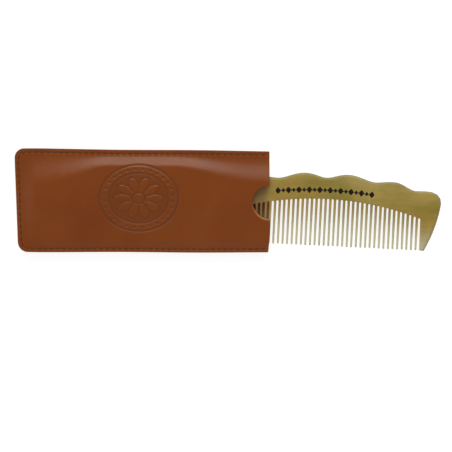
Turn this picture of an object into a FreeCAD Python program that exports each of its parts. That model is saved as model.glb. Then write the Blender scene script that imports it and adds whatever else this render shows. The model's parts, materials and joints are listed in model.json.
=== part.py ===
"""Horn beard comb, partly drawn out of its stitched leather sleeve.

The sleeve is two leather panels sewn together along three sides. Both are pressed into
shallow trays, so that the seam stands at half height and the comb lies in the hollow
between them. The front panel has a half-round thumb notch at the mouth. Every stitch is
a lockstitch: a needle thread on the front face and a bobbin thread on the back face,
which meet in the holes. The comb is one piece of horn: a scalloped spine, sawn and
tapered teeth on a shallow arch, and a broad guard at each end. Its teeth are written as
a piece of their own, so that the gaps between them stay open to collision.

Frame: millimetres, +Z up. The origin is under the middle of the sleeve, on the face
that it rests on. +X points out of the mouth, and +Y to the side of the comb's spine.
"""

import FreeCAD
import Part
import math
import os

from FreeCAD import Vector

# ---------------------------------------------------------------- the comb
comb_length = 118.1
comb_height = 37.0  # from the tooth tips to the highest crest of the spine
comb_thickness = 3.4  # at the spine
tip_thickness = 1.2  # at the tooth tips
full_thickness_height = 26.0  # above the tips, where the taper ends

tooth_pitch = 2.35
gap_top_width = 1.05  # between two teeth, at the root
gap_tip_width = 1.3  # between two teeth, at the tips
root_height = 24.2  # of the middle gaps, above the tips
root_arch_radius = 155.0  # of the line through the tops of all the gaps
guard_root_width = 10.2  # of each end guard, from its last gap to the comb's end
guard_foot_width = 2.7  # flat foot of each end guard
guard_bulge = 1.1  # of the end guard's outer edge, beyond a straight line
shoulder_height = 24.7  # above the tips, where the end guard is widest

# Half of the spine, from the middle to the end: the place of each dip and crest as a
# share of half the length, and how far each lies below the highest crest.
spine_dips_and_crests = (
    (0.000, 2.0),
    (0.183, 0.0),
    (0.427, 3.2),
    (0.576, 2.6),
    (0.779, 6.6),
    (0.872, 6.5),
)
crest_fullness = 1.15  # above 1 makes the crests broader than the dips
points_per_wave = 6
edge_radius = 1.1  # of the rounded edges of the spine and the end guards

# ---------------------------------------------------------------- the sleeve
leather_thickness = 1.3
seam_margin = 3.0  # from the cut edge to where the two panels part
wall_run = 3.5  # breadth of the sloping wall between seam and flat
face_gap = 0.6  # between the comb and each panel
seam_drop = 0.1  # of the seam's plane, below the middle of the comb
end_gap = 2.4  # from the comb, pushed home, to the seam at the closed end
mouth_setback = 6.0  # of the comb, pushed home, inside the mouth
side_play = 9.0  # of the comb between the two long seams
closed_end_flare = 1.1  # the closed end is broader than the mouth by this
closed_end_skew = 2.4  # the closed end's spine-side corner stands out by this
corner_radius = 5.0
least_corner_radius = 0.5  # of the inner outlines
notch_radius = 8.9
notch_drop = 0.8  # of the notch's middle, below the middle of the mouth

# ---------------------------------------------------------------- the seam
stitch_inset = 1.9  # of the stitch line, from the cut edge
stitch_pitch = 3.2
first_stitch = 1.8  # of the first hole, from the mouth
thread_diameter = 0.5
thread_bend_radius = 0.35
groove_width = 0.9
groove_depth = 0.32
hole_diameter = 1.2
thread_gap = 0.02  # between the thread and the leather or the other thread

# ---------------------------------------------------------------- the pose
comb_tilt = 2.4  # degrees, of the comb in the loose sleeve, teeth towards the mouth
comb_drawn = 93.1  # of the comb, out of its home place

# ---------------------------------------------------------------- worked out
sleeve_length = seam_margin + end_gap + comb_length + mouth_setback
mouth_height = 2 * seam_margin + side_play + comb_height
closed_height = mouth_height + closed_end_flare
mouth_x = sleeve_length / 2

comb_mid_z = leather_thickness + face_gap + comb_thickness / 2
ceiling_z = leather_thickness + comb_thickness + 2 * face_gap
seam_z = comb_mid_z - seam_drop

tilt = math.radians(comb_tilt)
home_x = -mouth_x + seam_margin + end_gap + comb_length / 2
home_y = -comb_height / 2
comb_x = home_x + comb_drawn * math.cos(tilt)
comb_y = home_y - comb_drawn * math.sin(tilt)

half_length = comb_length / 2
toothed_half = half_length - guard_root_width
gap_count = 2 * int(toothed_half / tooth_pitch + 0.5)
last_gap_x = (gap_count - 1) / 2 * tooth_pitch
gap_places = [i * tooth_pitch - last_gap_x for i in range(gap_count)]
beyond = 10.0  # how far a cutting solid passes a face that it cuts through


def corner(a, b, c, d):
    """The crossing of the line through a and b with the line through c and d."""
    r = b - a
    s = d - c
    t = ((c.x - a.x) * s.y - (c.y - a.y) * s.x) / (r.x * s.y - r.y * s.x)
    return a + r * t


def sleeve_corners(inset, reach):
    """Corners of the sleeve's outline, inset from its three sewn sides and carried
    past the mouth by reach: mouth bottom, closed bottom, closed top, mouth top."""
    outer = [
        Vector(mouth_x, -mouth_height / 2, 0),
        Vector(-mouth_x + closed_end_skew / 2, -closed_height / 2, 0),
        Vector(-mouth_x - closed_end_skew / 2, closed_height / 2, 0),
        Vector(mouth_x, mouth_height / 2, 0),
    ]
    lines = []
    for a, b in zip(outer[:-1], outer[1:]):
        inward = Vector(b.y - a.y, a.x - b.x, 0).normalize() * inset
        lines.append((a + inward, b + inward))
    mouth = (Vector(mouth_x + reach, -1, 0), Vector(mouth_x + reach, 1, 0))
    return [
        corner(*lines[0], *mouth),
        corner(*lines[0], *lines[1]),
        corner(*lines[1], *lines[2]),
        corner(*lines[2], *mouth),
    ]


def rounded(before, at, after, radius):
    """Start, middle and end of the arc that rounds the corner at a point."""
    one = (before - at).normalize()
    two = (after - at).normalize()
    half_angle = one.getAngle(two) / 2
    run = radius / math.tan(half_angle)
    centre = at + (one + two).normalize() * (radius / math.sin(half_angle))
    middle = centre + (at - centre).normalize() * radius
    return at + one * run, middle, at + two * run


def sleeve_path(inset, reach, z):
    """The three sewn sides, inset, from the mouth round the closed end and back."""
    p = sleeve_corners(inset, reach)
    radius = max(corner_radius - inset, least_corner_radius)
    a1, a2, a3 = rounded(p[0], p[1], p[2], radius)
    b1, b2, b3 = rounded(p[1], p[2], p[3], radius)
    edges = [
        Part.LineSegment(p[0], a1).toShape(),
        Part.Arc(a1, a2, a3).toShape(),
        Part.LineSegment(a3, b1).toShape(),
        Part.Arc(b1, b2, b3).toShape(),
        Part.LineSegment(b3, p[3]).toShape(),
    ]
    for edge in edges:
        edge.translate(Vector(0, 0, z))
    return edges


def sleeve_outline(inset, reach, z):
    """The closed outline of the sleeve, inset from its sewn sides."""
    edges = sleeve_path(inset, reach, z)
    last = edges[-1].Vertexes[-1].Point
    first = edges[0].Vertexes[0].Point
    edges.append(Part.LineSegment(last, first).toShape())
    return Part.Wire(edges)


def sleeve_slab(inset, reach, z, depth):
    """A flat slab with the sleeve's outline."""
    return Part.Face(sleeve_outline(inset, reach, z)).extrude(Vector(0, 0, depth))


def sleeve_crown(inset, reach, z_foot, z_top):
    """A low crown whose walls slope in over the wall run, from z_foot to z_top."""
    foot = sleeve_outline(inset, reach, z_foot)
    top = sleeve_outline(inset + wall_run, reach, z_top)
    return Part.makeLoft([foot, top], True, True)


def stitch_holes():
    """Places of the stitch holes, evenly spaced along the stitch line."""
    path = Part.Wire(sleeve_path(stitch_inset, -first_stitch, 0))
    count = round(path.Length / stitch_pitch) + 1
    return path.discretize(Number=count)


def groove(start, end, floor_z, side):
    """The bed that one stitch presses into the leather, ending inside its two holes."""
    chord = end - start
    length = chord.Length - hole_diameter / 2
    bed = Part.makeBox(length, groove_width, beyond)
    bed.translate(Vector(-length / 2, -groove_width / 2, 0 if side > 0 else -beyond))
    angle = math.degrees(math.atan2(chord.y, chord.x))
    bed.rotate(Vector(0, 0, 0), Vector(0, 0, 1), angle)
    bed.translate((start + end) / 2 + Vector(0, 0, floor_z))
    return bed


def tray_panel(side, holes_at):
    """One leather panel of even thickness: side 1 is the front, -1 the back."""
    rest_z = 0.0 if side < 0 else ceiling_z + leather_thickness
    inner_z = leather_thickness if side < 0 else ceiling_z
    face_z = seam_z + side * leather_thickness
    slope = math.atan2(abs(inner_z - seam_z), wall_run)
    outer_inset = seam_margin - leather_thickness * math.tan(slope / 2)
    flange = sleeve_slab(0, 0, seam_z, side * leather_thickness)
    crown = sleeve_crown(outer_inset, 0, face_z, rest_z)
    hollow = sleeve_crown(seam_margin, beyond, seam_z, inner_z)
    floor_z = face_z - side * groove_depth
    pairs = zip(holes_at[:-1], holes_at[1:])
    grooves = Part.makeCompound([groove(a, b, floor_z, side) for a, b in pairs])
    holes = Part.makeCompound(
        [
            Part.makeCylinder(hole_diameter / 2, 2 * beyond, p - Vector(0, 0, beyond))
            for p in holes_at
        ]
    )
    panel = flange.fuse(crown).cut(hollow).cut(holes).cut(grooves)
    return panel.removeSplitter()


def front_panel(holes_at):
    """The panel on show, with the thumb notch in its mouth."""
    notch = Part.makeCylinder(notch_radius, 2 * beyond, Vector(mouth_x, -notch_drop, 0))
    return tray_panel(1, holes_at).cut(notch)


def stitch(start, end, side):
    """One stitch: a bar in the groove, with a leg down each of its two holes."""
    radius = thread_diameter / 2
    along = (end - start).normalize()
    into = Vector(0, 0, -side)
    face_z = seam_z + side * leather_thickness
    bar_z = face_z - side * (groove_depth - radius - thread_gap)
    leg_end_z = seam_z + side * thread_gap
    # The legs of two neighbouring stitches stand side by side in their hole.
    aside = along * (radius + 2 * thread_gap)
    a = start + aside + Vector(0, 0, bar_z)
    b = end - aside + Vector(0, 0, bar_z)
    leg = into * abs(bar_z - leg_end_z)
    bend = thread_bend_radius
    knee = bend * (1 - math.sqrt(0.5))
    path = Part.Wire(
        [
            Part.LineSegment(a + leg, a + into * bend).toShape(),
            Part.Arc(
                a + into * bend, a + into * knee + along * knee, a + along * bend
            ).toShape(),
            Part.LineSegment(a + along * bend, b - along * bend).toShape(),
            Part.Arc(
                b - along * bend, b + into * knee - along * knee, b + into * bend
            ).toShape(),
            Part.LineSegment(b + into * bend, b + leg).toShape(),
        ]
    )
    section = Part.Wire(Part.makeCircle(radius, a + leg, into))
    return path.makePipeShell([section], True, False)


def thread(side, holes_at):
    """All the stitches that one thread makes on its side of the seam."""
    pairs = zip(holes_at[:-1], holes_at[1:])
    return Part.makeCompound([stitch(a, b, side) for a, b in pairs])


def spine_y(x):
    """Height of the spine at x: each dip and crest runs smoothly into the next."""
    share = abs(x) / half_length
    stations = spine_dips_and_crests
    for (s0, drop0), (s1, drop1) in zip(stations[:-1], stations[1:]):
        if share <= s1:
            t = (share - s0) / (s1 - s0)
            # A crest is left slowly and reached early.
            t = t**crest_fullness if drop0 < drop1 else 1 - (1 - t) ** crest_fullness
            return comb_height - drop0 - (drop1 - drop0) * t * t * (3 - 2 * t)
    return comb_height - stations[-1][1]


def root_y(x):
    """Height of the gaps' tops at x, on the shallow arch."""
    drop = root_arch_radius - math.sqrt(root_arch_radius**2 - x * x)
    return root_height - drop


def spine_edge():
    """The scalloped top edge, from one end crest to the other."""
    stations = spine_dips_and_crests
    places = [0.0]
    for (s0, _), (s1, _) in zip(stations[:-1], stations[1:]):
        places += [
            s0 + (s1 - s0) * i / points_per_wave for i in range(1, points_per_wave + 1)
        ]
    xs = [-half_length * s for s in reversed(places[1:])]
    xs += [half_length * s for s in places]
    curve = Part.BSplineCurve()
    curve.interpolate([Vector(x, spine_y(x), 0) for x in xs])
    return curve.toShape(), xs[-1]


def end_edges(sign, crest_x):
    """The edge of one end guard, from the spine's last crest down to its foot. Its two
    curves run on smoothly into each other where the guard is widest."""
    crest = Vector(sign * crest_x, spine_y(crest_x), 0)
    widest = Vector(sign * half_length, shoulder_height, 0)
    foot_x = last_gap_x + gap_tip_width / 2 + guard_foot_width
    foot = Vector(sign * foot_x, 0, 0)
    chord = (widest - foot).normalize()
    outward = Vector(sign * abs(chord.y), -abs(chord.x), 0)
    bulge = (widest + foot) / 2 + outward * guard_bulge
    shoulder = Part.BSplineCurve()
    shoulder.interpolate(
        [crest, widest],
        Tangents=[Vector(sign, 0, 0), Vector(0, -1, 0)],
        TangentFlags=[True, True],
        Scale=True,
    )
    side = Part.BSplineCurve()
    side.interpolate(
        [widest, bulge, foot],
        Tangents=[Vector(0, -1, 0), Vector(0, 0, 0), Vector(0, 0, 0)],
        TangentFlags=[True, False, False],
        Scale=True,
    )
    return shoulder.toShape(), side.toShape(), foot


def blank():
    """The comb before its teeth are sawn: an even plate with every long edge rounded."""
    spine, crest_x = spine_edge()
    right_shoulder, right_side, right_foot = end_edges(1, crest_x)
    left_shoulder, left_side, left_foot = end_edges(-1, crest_x)
    tips = Part.LineSegment(right_foot, left_foot).toShape()
    edges = [spine, right_shoulder, right_side, tips, left_side, left_shoulder]
    face = Part.Face(Part.Wire(Part.__sortEdges__(edges)))
    face.translate(Vector(0, 0, -comb_thickness / 2))
    plate = face.extrude(Vector(0, 0, comb_thickness))
    # All the edges in either face of the plate, apart from the line of the tips.
    long_edges = [
        e
        for e in plate.Edges
        if e.BoundBox.ZLength < edge_radius and e.BoundBox.YMax > edge_radius
    ]
    return plate.makeFillet(edge_radius, long_edges)


def gap_points(x):
    """The four corners of the gap at x: right foot, right top, left top, left foot. Its
    sides are carried on past the tips, and its round top springs from the top corners."""
    half_top = gap_top_width / 2
    half_tip = gap_tip_width / 2
    spring_y = root_y(x) - half_top
    half_foot = half_tip + (half_tip - half_top) * beyond / spring_y
    return (
        Vector(x + half_foot, -beyond, 0),
        Vector(x + half_top, spring_y, 0),
        Vector(x - half_top, spring_y, 0),
        Vector(x - half_foot, -beyond, 0),
    )


def through_prism(edges):
    """A prism with these edges as its outline, right through the comb's thickness."""
    wire = Part.Wire(edges)
    wire.translate(Vector(0, 0, -comb_thickness))
    return Part.Face(wire).extrude(Vector(0, 0, 2 * comb_thickness))


def toothed_region():
    """Everything that is sawn away or is a tooth: a band under round gap tops, with a
    straight line across the root of each tooth."""
    edges = []
    corners = [gap_points(x) for x in gap_places]
    for i, (_, right_top, left_top, _) in enumerate(corners):
        top = Vector(gap_places[i], root_y(gap_places[i]), 0)
        if i:
            edges.append(Part.LineSegment(corners[i - 1][1], left_top).toShape())
        edges.append(Part.Arc(left_top, top, right_top).toShape())
    left_foot = corners[0][3]
    right_foot = corners[-1][0]
    edges.append(Part.LineSegment(corners[-1][1], right_foot).toShape())
    edges.append(Part.LineSegment(right_foot, left_foot).toShape())
    edges.append(Part.LineSegment(left_foot, corners[0][2]).toShape())
    return through_prism(edges)


def tooth_prism(left_gap, right_gap):
    """The outline of the tooth that stands between two gaps, as a prism."""
    right_foot, right_top, _, _ = gap_points(left_gap)
    _, _, left_top, left_foot = gap_points(right_gap)
    corners = [right_foot, right_top, left_top, left_foot, right_foot]
    pairs = zip(corners[:-1], corners[1:])
    return through_prism([Part.LineSegment(a, b).toShape() for a, b in pairs])


def side_profile():
    """The comb's section: even at the spine, then curving in to a round tip."""
    half = comb_thickness / 2
    tip = tip_thickness / 2
    narrowing = half - tip
    height = full_thickness_height - tip
    radius = (height**2 + narrowing**2) / (2 * narrowing)
    mid_y = tip + height / 2
    mid_half = half - radius + math.sqrt(radius**2 - (height / 2) ** 2)
    top = comb_height + beyond
    points = {
        side: [
            Vector(0, tip, side * tip),
            Vector(0, mid_y, side * mid_half),
            Vector(0, full_thickness_height, side * half),
            Vector(0, top, side * half),
        ]
        for side in (1, -1)
    }
    wire = Part.Wire(
        [
            Part.Arc(points[-1][0], Vector(0, 0, 0), points[1][0]).toShape(),
            Part.Arc(*points[1][:3]).toShape(),
            Part.LineSegment(points[1][2], points[1][3]).toShape(),
            Part.LineSegment(points[1][3], points[-1][3]).toShape(),
            Part.LineSegment(points[-1][3], points[-1][2]).toShape(),
            Part.Arc(*reversed(points[-1][:3])).toShape(),
        ]
    )
    wire.translate(Vector(-comb_length, 0, 0))
    return Part.Face(wire).extrude(Vector(2 * comb_length, 0, 0))


def placed(shape):
    """A shape from the comb's own plane, put in its place partly out of the sleeve."""
    shape.rotate(Vector(0, 0, 0), Vector(0, 0, 1), -comb_tilt)
    shape.translate(Vector(comb_x, comb_y, comb_mid_z))
    return shape


def comb_back():
    """The comb without its teeth: the scalloped spine and both end guards."""
    return placed(blank().common(side_profile()).cut(toothed_region()))


def comb_teeth():
    """The teeth, each a solid of its own whose root face lies against the spine."""
    pairs = zip(gap_places[:-1], gap_places[1:])
    prisms = Part.makeCompound([tooth_prism(a, b) for a, b in pairs])
    return placed(side_profile().common(prisms))


def main():
    """Writes one STEP file for each piece."""
    os.makedirs("parts", exist_ok=True)
    holes_at = stitch_holes()
    pieces = {
        "comb_back": comb_back(),
        "comb_teeth": comb_teeth(),
        "front_panel": front_panel(holes_at),
        "back_panel": tray_panel(-1, holes_at),
        "needle_thread": thread(1, holes_at),
        "bobbin_thread": thread(-1, holes_at),
    }
    for name, shape in pieces.items():
        shape.exportStep(f"parts/{name}.step")
        volume = round(shape.Volume, 1)
        print(name, len(shape.Solids), "solids", volume, "mm3", shape.isValid())


main()
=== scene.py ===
"""Horn beard comb, partly drawn out of its stitched leather sleeve.

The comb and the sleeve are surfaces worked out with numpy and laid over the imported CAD
frame: one welded skin for the comb, one for each leather panel, one for each sewing
thread and one for the printed border on the horn. Sizes are in millimetres and become
metres when a skin is made into a mesh.
"""

import json
import logging
import math
from dataclasses import dataclass, field
from enum import Enum
from typing import Any, Optional, Sequence, Union

import bmesh
import bpy
import numpy as np
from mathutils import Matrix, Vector


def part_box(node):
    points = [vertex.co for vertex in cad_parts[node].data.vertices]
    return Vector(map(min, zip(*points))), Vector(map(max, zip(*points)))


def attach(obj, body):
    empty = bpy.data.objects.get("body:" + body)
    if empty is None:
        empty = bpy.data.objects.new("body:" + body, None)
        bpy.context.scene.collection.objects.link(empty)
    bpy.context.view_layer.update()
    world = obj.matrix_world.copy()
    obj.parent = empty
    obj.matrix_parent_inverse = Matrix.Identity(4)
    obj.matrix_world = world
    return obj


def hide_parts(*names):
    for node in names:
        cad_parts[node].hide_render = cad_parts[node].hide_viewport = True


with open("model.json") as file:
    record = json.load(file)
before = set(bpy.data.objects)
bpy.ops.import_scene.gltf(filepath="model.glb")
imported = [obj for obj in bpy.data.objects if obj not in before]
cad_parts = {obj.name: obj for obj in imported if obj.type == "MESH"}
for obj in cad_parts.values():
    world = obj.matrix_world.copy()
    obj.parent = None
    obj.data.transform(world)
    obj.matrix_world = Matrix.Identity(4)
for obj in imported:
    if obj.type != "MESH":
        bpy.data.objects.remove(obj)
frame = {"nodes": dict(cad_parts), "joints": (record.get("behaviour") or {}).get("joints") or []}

LOG = logging.getLogger("beard_comb")
MM = 0.001  # one millimetre in metres
WELD = 0.0004  # points nearer than this, in millimetres, become one
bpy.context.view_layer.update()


class Face(Enum):
    """The side of the sleeve that a panel or a thread is on."""

    FRONT = 1
    BACK = -1


# ------------------------------------------------------------------ number helpers


def smooth(low: float, high: float, value: np.ndarray) -> np.ndarray:
    """Smooth step: 0 below low, 1 above high, and 3t^2 - 2t^3 between them.

    Args:
        low: Value where the step begins.
        high: Value where the step ends.
        value: Values to grade.

    Returns:
        The step for each value.
    """
    t = np.clip((value - low) / (high - low), 0.0, 1.0)
    return t * t * (3 - 2 * t)


def bell(value: np.ndarray, width: float) -> np.ndarray:
    """A bell curve, e to the power of minus (value / width) squared.

    Args:
        value: Distances from the bell's middle.
        width: Distance at which the bell has fallen to 1/e.

    Returns:
        The bell's height, from 0 to 1, for each value.
    """
    return np.exp(-((value / width) ** 2))


def rounding(steps: int, power: float) -> tuple[np.ndarray, np.ndarray]:
    """Shares of inset and of height round an edge, along a quarter of a superellipse.

    For an angle a from 0 to 90 degrees, inset is 1 - cos(a)^(2/power) and height is
    sin(a)^(2/power). A power of 2 is a quarter circle, and more is squarer.

    Args:
        steps: Number of strips round the edge.
        power: The superellipse's power.

    Returns:
        The insets and the heights, steps + 1 of each, from the edge inwards.
    """
    a = np.linspace(0.0, math.pi / 2, steps + 1)
    return 1 - np.cos(a) ** (2 / power), np.sin(a) ** (2 / power)


def superellipse(half_width: float, half_height: float, power: float, count: int) -> np.ndarray:
    """Outline whose x and y are the cosine and sine of an angle, each to 2/power.

    Args:
        half_width: Half of the outline's width.
        half_height: Half of its height.
        power: 2 is an ellipse, less is a lozenge, more is a rounded bar.
        count: Points round the outline; the first is repeated at the end.

    Returns:
        An array of (count + 1, 2).
    """
    a = np.linspace(0.0, 2 * math.pi, count + 1)
    a[-1] = 0.0
    c, s = np.cos(a), np.sin(a)
    x = half_width * np.sign(c) * np.abs(c) ** (2 / power)
    y = half_height * np.sign(s) * np.abs(s) ** (2 / power)
    return np.stack([x, y], axis=-1)


def graded(start: float, stop: float, stations: Sequence[tuple[float, float]]) -> np.ndarray:
    """Grid lines whose spacing follows a few stations, straight lines between them.

    The number of lines passed by a place is the integral of 1 / spacing, so the lines
    are where that integral, scaled to a whole number, takes whole values.

    Args:
        start: First line.
        stop: Last line.
        stations: Places and the spacing wanted at each.

    Returns:
        The places of the lines, from start to stop.
    """
    dense = np.linspace(start, stop, 8001)
    spacing = np.interp(dense, [p for p, _ in stations], [s for _, s in stations])
    passed = np.concatenate([[0.0], np.cumsum(np.diff(dense) / spacing[1:])])
    count = int(math.ceil(passed[-1]))
    return np.interp(np.linspace(0.0, passed[-1], count + 1), passed, dense)


def ripple(x: np.ndarray, y: np.ndarray, wave: float, seed: int) -> np.ndarray:
    """Gentle unevenness: seven sine waves of nearly one length, turned about and added.

    Args:
        x: Places along the sleeve.
        y: Places across it.
        wave: Typical wavelength.
        seed: Fixes the waves' directions and starts.

    Returns:
        Heights between about -1 and 1.
    """
    rng = np.random.default_rng(seed)
    total = np.zeros_like(x)
    for turn, start, stretch in rng.uniform(0, 1, (7, 3)):
        angle = 2 * math.pi * turn
        k = 2 * math.pi / (wave * (0.7 + 0.7 * stretch))
        total += np.sin(k * (x * math.cos(angle) + y * math.sin(angle)) + 2 * math.pi * start)
    return total / 3.5


# ------------------------------------------------------------------ skins


class Skin:
    """Gathers grids of points and welds them into one closed mesh."""

    def __init__(self, name: str, marks: Sequence[str] = ()) -> None:
        """Starts an empty skin.

        Args:
            name: Name of the piece.
            marks: Names of the values that each point carries for its material.
        """
        self.name = name
        self.points: list[np.ndarray] = []
        self.faces: list[np.ndarray] = []
        self.marks: dict[str, list[np.ndarray]] = {m: [] for m in marks}
        self.count = 0

    def add(self, grids: np.ndarray, flip: bool = False, **marks: Any) -> None:
        """Adds one grid, or several of one size, with a face between each four points.

        Args:
            grids: Points as (rows, columns, 3) or (several, rows, columns, 3).
            flip: Turns the faces over.
            **marks: One value, or an array of the grids' shape, for each mark.
        """
        if grids.ndim == 3:
            grids = grids[None]
        several, rows, cols = grids.shape[:3]
        index = np.arange(several * rows * cols).reshape(several, rows, cols) + self.count
        corners = [index[:, :-1, :-1], index[:, 1:, :-1], index[:, 1:, 1:], index[:, :-1, 1:]]
        quads = np.stack(corners[::-1] if flip else corners, axis=-1).reshape(-1, 4)
        self.points.append(grids.reshape(-1, 3))
        self.faces.append(quads)
        for name, values in self.marks.items():
            value = np.broadcast_to(marks.get(name, 0.0), grids.shape[:3])
            values.append(value.reshape(-1))
        self.count += several * rows * cols

    def make(self) -> bpy.types.Object:
        """Welds the grids, turns every face outwards and links the object.

        Returns:
            The finished object, at the origin, in metres.
        """
        points = np.concatenate(self.points).astype(np.float32) * MM
        faces = np.concatenate(self.faces).astype(np.int32)
        mesh = bpy.data.meshes.new(self.name)
        mesh.vertices.add(len(points))
        mesh.vertices.foreach_set("co", points.reshape(-1))
        mesh.loops.add(faces.size)
        mesh.loops.foreach_set("vertex_index", faces.reshape(-1))
        mesh.polygons.add(len(faces))
        mesh.polygons.foreach_set("loop_start", np.arange(0, faces.size, 4, dtype=np.int32))
        mesh.update(calc_edges=True)
        for name, values in self.marks.items():
            layer = mesh.attributes.new(name, "FLOAT", "POINT")
            layer.data.foreach_set("value", np.concatenate(values).astype(np.float32))
        work = bmesh.new()
        work.from_mesh(mesh)
        bmesh.ops.remove_doubles(work, verts=work.verts, dist=WELD * MM)
        bmesh.ops.recalc_face_normals(work, faces=work.faces)
        work.to_mesh(mesh)
        work.free()
        edges = np.empty(len(mesh.loops), np.int32)
        mesh.loops.foreach_get("edge_index", edges)
        open_edges = int(np.count_nonzero(np.bincount(edges) != 2))
        mesh.polygons.foreach_set("use_smooth", np.ones(len(mesh.polygons), dtype=bool))
        mesh.update()
        obj = bpy.data.objects.new(self.name, mesh)
        bpy.context.scene.collection.objects.link(obj)
        LOG.info("%s: %d faces, %d open edges", self.name, len(mesh.polygons), open_edges)
        return obj


def edge_strip(top: np.ndarray, bottom: np.ndarray, bulge: float, rows: int) -> np.ndarray:
    """The rounded rim that joins the outlines of two sheets.

    At an angle a from 0 to 180 degrees the strip is (1 - cos a) / 2 of the way from the
    top outline to the bottom one, and stands out by bulge times sin(a)^0.6 along the
    outline's own outward normal in the plane.

    Args:
        top: Closed outline as (points, 3), the first point repeated at the end.
        bottom: The other outline, point for point.
        bulge: How far the rim stands out.
        rows: Number of strips.

    Returns:
        A grid of (points, rows + 1, 3).
    """
    ahead = np.roll(top[:-1, :2], -1, axis=0) - np.roll(top[:-1, :2], 1, axis=0)
    normal = np.stack([ahead[:, 1], -ahead[:, 0]], axis=-1)
    normal /= np.linalg.norm(normal, axis=1, keepdims=True)
    x, y = top[:-1, 0], top[:-1, 1]
    area = np.sum(x * np.roll(y, -1) - np.roll(x, -1) * y)
    normal = np.append(normal, normal[:1], axis=0) * math.copysign(1.0, area)
    a = np.linspace(0.0, math.pi, rows + 1)[None, :, None]
    out = np.concatenate([normal, np.zeros((len(normal), 1))], axis=1)[:, None]
    between = top[:, None] + (bottom - top)[:, None] * (1 - np.cos(a)) / 2
    return between + out * bulge * np.sin(a).clip(0.0) ** 0.6


# ------------------------------------------------------------------ shader maths

Number = Union[float, "Signal"]


class Signal:
    """A value inside a material. Python's operators on it add Math nodes."""

    def __init__(self, paint: "Paint", socket: bpy.types.NodeSocket) -> None:
        """Keeps the material and the socket that the value comes from."""
        self.paint = paint
        self.socket = socket

    def _math(self, operation: str, a: Number, b: Number, clamp: bool = False) -> "Signal":
        """One Math node on two values."""
        settings = {"operation": operation, "use_clamp": clamp}
        return self.paint.add("ShaderNodeMath", settings, {0: a, 1: b})["Value"]

    def __add__(self, other: Number) -> "Signal":
        """self + other."""
        return self._math("ADD", self, other)

    def __radd__(self, other: Number) -> "Signal":
        """other + self."""
        return self._math("ADD", other, self)

    def __sub__(self, other: Number) -> "Signal":
        """self - other."""
        return self._math("SUBTRACT", self, other)

    def __rsub__(self, other: Number) -> "Signal":
        """other - self."""
        return self._math("SUBTRACT", other, self)

    def __mul__(self, other: Number) -> "Signal":
        """self * other."""
        return self._math("MULTIPLY", self, other)

    def __rmul__(self, other: Number) -> "Signal":
        """other * self."""
        return self._math("MULTIPLY", other, self)

    def __pow__(self, other: Number) -> "Signal":
        """self to the power of other."""
        return self._math("POWER", self, other)

    def clamped(self) -> "Signal":
        """The value, held between 0 and 1."""
        return self._math("ADD", self, 0.0, clamp=True)

    def step(self, low: float, high: float) -> "Signal":
        """0 below low, 1 above high, smooth between them.

        Args:
            low: Value where the step begins.
            high: Value where the step ends.

        Returns:
            The step.
        """
        settings = {"interpolation_type": "SMOOTHSTEP"}
        sockets = {"Value": self, "From Min": low, "From Max": high}
        return self.paint.add("ShaderNodeMapRange", settings, sockets)["Result"]


class Outputs:
    """The outputs of one node, read by name or number as signals."""

    def __init__(self, paint: "Paint", node: bpy.types.Node) -> None:
        """Keeps the material and the node."""
        self.paint = paint
        self.node = node

    def __getitem__(self, key: Union[str, int]) -> Signal:
        """The output with this name or number."""
        return Signal(self.paint, self.node.outputs[key])


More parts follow.
